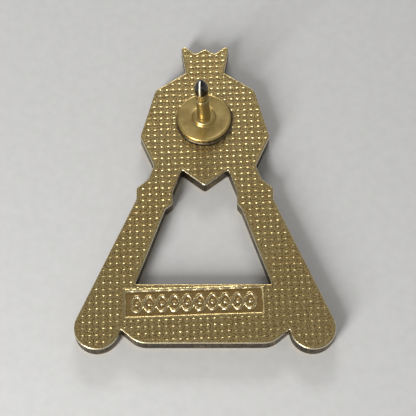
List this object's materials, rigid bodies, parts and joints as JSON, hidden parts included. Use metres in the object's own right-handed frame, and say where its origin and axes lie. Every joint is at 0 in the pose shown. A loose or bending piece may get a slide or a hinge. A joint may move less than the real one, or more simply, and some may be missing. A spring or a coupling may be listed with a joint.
{
  "type": "pin badge",
  "caption": "Metal pin badge: a crowned faceted gem on splayed legs joined by a bar, with a waffled back, a soldered round pad with a pointed post, and enamel fills on its front.",
  "frame": {"origin": "centre of the badge's bounding box, on the plane of the metal lines of its front, which the badge lies on", "axes": "+Z out of the badge's back, along the post; +Y from the feet to the crown; +X to the right as one looks at the back"},
  "size_m": [0.0226, 0.0302, 0.0086],
  "materials": {
    "gold_plate": "aged gold plating on a struck plate, satin",
    "gold_pad": "gold plating, smooth satin",
    "polished_gold": "gold plating, polished",
    "solder": "dull plated solder",
    "enamel_red": "fired soft enamel, glossy",
    "enamel_blue": "fired soft enamel, glossy",
    "enamel_sky": "fired soft enamel, glossy",
    "enamel_white": "fired soft enamel, glossy"
  },
  "bodies": {
    "root": {"badge_plate": "gold_plate", "post_pad": "gold_pad", "pin_post": "polished_gold", "solder_joint": "solder", "enamel_crown": "enamel_red", "enamel_gem_top": "enamel_blue", "enamel_gem_table": "enamel_blue", "enamel_gem_upper_left": "enamel_sky", "enamel_gem_upper_right": "enamel_sky", "enamel_gem_side_left": "enamel_blue", "enamel_gem_side_right": "enamel_blue", "enamel_gem_lower_left": "enamel_sky", "enamel_gem_lower_right": "enamel_sky", "enamel_chin_left": "enamel_blue", "enamel_chin_right": "enamel_blue", "enamel_leg_top_left": "enamel_red", "enamel_leg_top_right": "enamel_red", "enamel_collar_left": "enamel_white", "enamel_collar_right": "enamel_white", "enamel_leg_left": "enamel_red", "enamel_leg_right": "enamel_red", "enamel_foot_left": "enamel_blue", "enamel_foot_right": "enamel_blue", "enamel_bar_end_left": "enamel_blue", "enamel_bar_end_right": "enamel_blue", "enamel_bar_centre": "enamel_white"}
  },
  "joints": []
}
